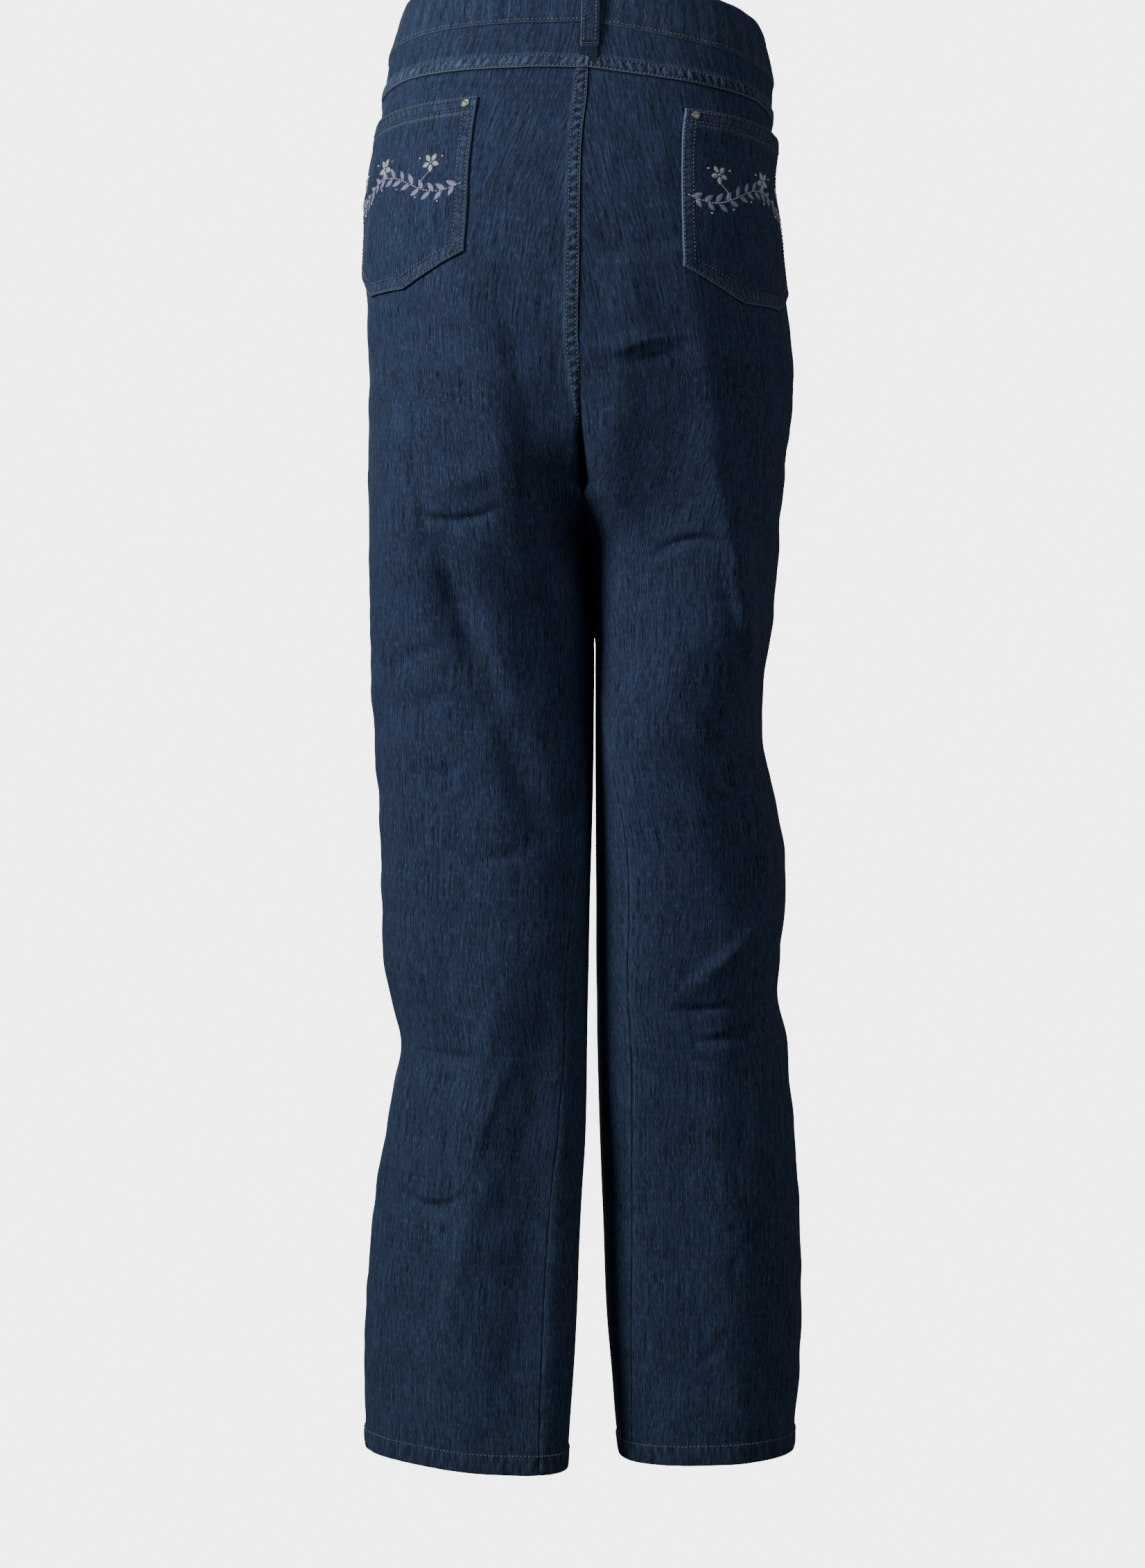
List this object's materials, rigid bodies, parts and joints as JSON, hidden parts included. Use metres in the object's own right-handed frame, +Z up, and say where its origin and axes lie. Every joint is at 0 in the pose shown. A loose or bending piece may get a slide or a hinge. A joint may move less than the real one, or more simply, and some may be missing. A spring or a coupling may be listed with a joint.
{
  "type": "slim fit jeans",
  "caption": "Slim fit stretch jeans in worn form, hollow, with back yoke, clipped patch pockets, belt loops and a closed fly.",
  "frame": {"origin": "middle of the waist opening at the height of the waistband's top edge at the centre back, where the wearer holds the garment up", "axes": "+Z up, the back faces +Y and the front faces -Y, +X is the wearer's left side"},
  "size_m": [0.3286, 0.2612, 1.0891],
  "materials": {
    "denim": "dark indigo stretch denim, slubbed, soft sheen",
    "pewter": "dull pewter plate",
    "zip_tape": "navy woven tape"
  },
  "bodies": {
    "root": {"back_panel_left": "denim", "back_panel_right": "denim", "front_panel_left": "denim", "front_panel_right": "denim", "yoke_left": "denim", "yoke_right": "denim", "waistband": "denim", "back_pocket_left": "denim", "back_pocket_right": "denim", "front_pocket_facing_left": "denim", "front_pocket_facing_right": "denim", "fly_shield": "denim", "belt_loop_back": "denim", "belt_loop_side_left": "denim", "belt_loop_side_right": "denim", "belt_loop_front_left": "denim", "belt_loop_front_right": "denim", "fly_zip": "zip_tape", "rivet_left": "pewter", "rivet_right": "pewter", "waist_button": "pewter"}
  },
  "joints": []
}
